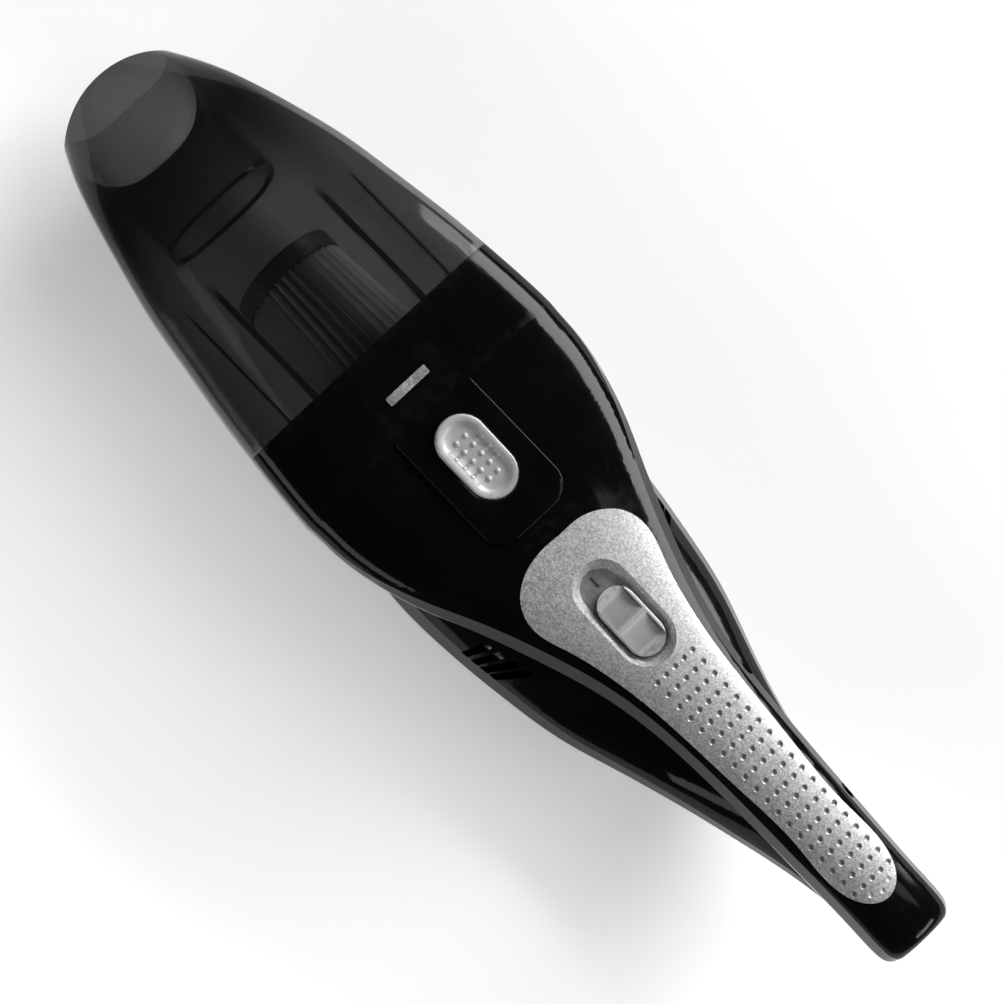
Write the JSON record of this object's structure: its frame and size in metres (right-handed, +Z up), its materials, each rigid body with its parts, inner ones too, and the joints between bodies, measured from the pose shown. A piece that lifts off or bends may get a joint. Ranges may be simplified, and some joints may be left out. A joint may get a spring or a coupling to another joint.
{
  "type": "handheld vacuum",
  "caption": "Cordless handheld vacuum: smoked see-through dust bowl with a slanted nozzle, black body with a loop handle, silver grip inlay, slide switch and release button.",
  "frame": {"origin": "middle of the length and width, on the surface that the belly stands on", "axes": "+X towards the nozzle, +Y to the vacuum's left, +Z up"},
  "size_m": [0.42, 0.116, 0.106],
  "materials": {
    "smoked_clear": "smoked transparent plastic",
    "duct_clear": "darker smoked transparent plastic",
    "gloss_black": "high gloss",
    "panel_black": "high gloss",
    "collar_black": "high gloss",
    "silver_trim": "fine silver paint, satin",
    "button_silver": "satin silver paint",
    "slider_silver": "satin silver paint",
    "inner_black": "fine moulded",
    "inner_grey": "fine moulded",
    "filter_paper": "pleated filter paper",
    "seal_rubber": "soft, matt",
    "spring_steel": "bright drawn wire",
    "motor_steel": "zinc plated",
    "shaft_steel": "ground",
    "contact_brass": "tinned edges",
    "fan_plastic": "moulded nylon",
    "cell_sleeve": "metal can in a shrunk sleeve",
    "strap_nickel": "nickel strip",
    "board_green": "solder mask",
    "lead_red": "wire sleeve",
    "lead_black": "wire sleeve",
    "screw_steel": "blackened zinc"
  },
  "bodies": {
    "body": {"housing_left": "gloss_black", "housing_right": "gloss_black", "button_panel": "panel_black", "grip_inlay": "silver_trim", "switch_plate": "slider_silver", "switch_body": "inner_black", "bulkhead": "inner_black", "bowl_seal": "seal_rubber", "fan_shroud": "inner_grey", "motor_can": "motor_steel", "motor_end_cap": "inner_black", "motor_terminals": "contact_brass", "motor_mount": "seal_rubber", "battery_cells": "cell_sleeve", "battery_holder": "inner_grey", "battery_straps": "strap_nickel", "charge_socket": "inner_black", "charge_pin": "contact_brass", "charge_board": "board_green", "housing_screws": "screw_steel", "motor_leads": "lead_red", "switch_leads": "lead_red", "battery_leads": "lead_black", "latch_spring": "spring_steel"},
    "bowl": {"dust_bowl": "smoked_clear", "intake_duct": "duct_clear", "bowl_collar": "collar_black", "collar_bar": "silver_trim"},
    "filter": {"filter_frame": "inner_black", "filter_pleats": "filter_paper", "filter_cap": "inner_black", "filter_seal": "seal_rubber"},
    "button": {"release_button": "button_silver", "latch_hook": "inner_black"},
    "slider": {"switch_slider": "slider_silver"},
    "rotor": {"impeller": "fan_plastic", "motor_shaft": "shaft_steel"}
  },
  "joints": [
    {"name": "bowl_pull", "type": "slide", "parent": "body", "child": "bowl", "axis": [1, 0, 0], "range_m": [0, 0.12]},
    {"name": "filter_pull", "type": "slide", "parent": "body", "child": "filter", "axis": [1, 0, 0], "range_m": [0, 0.042]},
    {"name": "button_press", "type": "slide", "parent": "body", "child": "button", "axis": [0, 0, -1], "range_m": [0, 0.0025], "stiffness_N_per_m": 900, "springref_m": -0.0015, "deforming": ["latch_spring"]},
    {"name": "power_slide", "type": "slide", "parent": "body", "child": "slider", "axis": [1, 0, 0], "range_m": [0, 0.008]},
    {"name": "fan_spin", "type": "hinge", "parent": "body", "child": "rotor", "pos_m": [0, 0, 0.048], "axis": [1, 0, 0], "continuous": true}
  ],
  "couplings": [
    {"joint": "filter_pull", "follows": "bowl_pull", "ratio": 0.35}
  ]
}
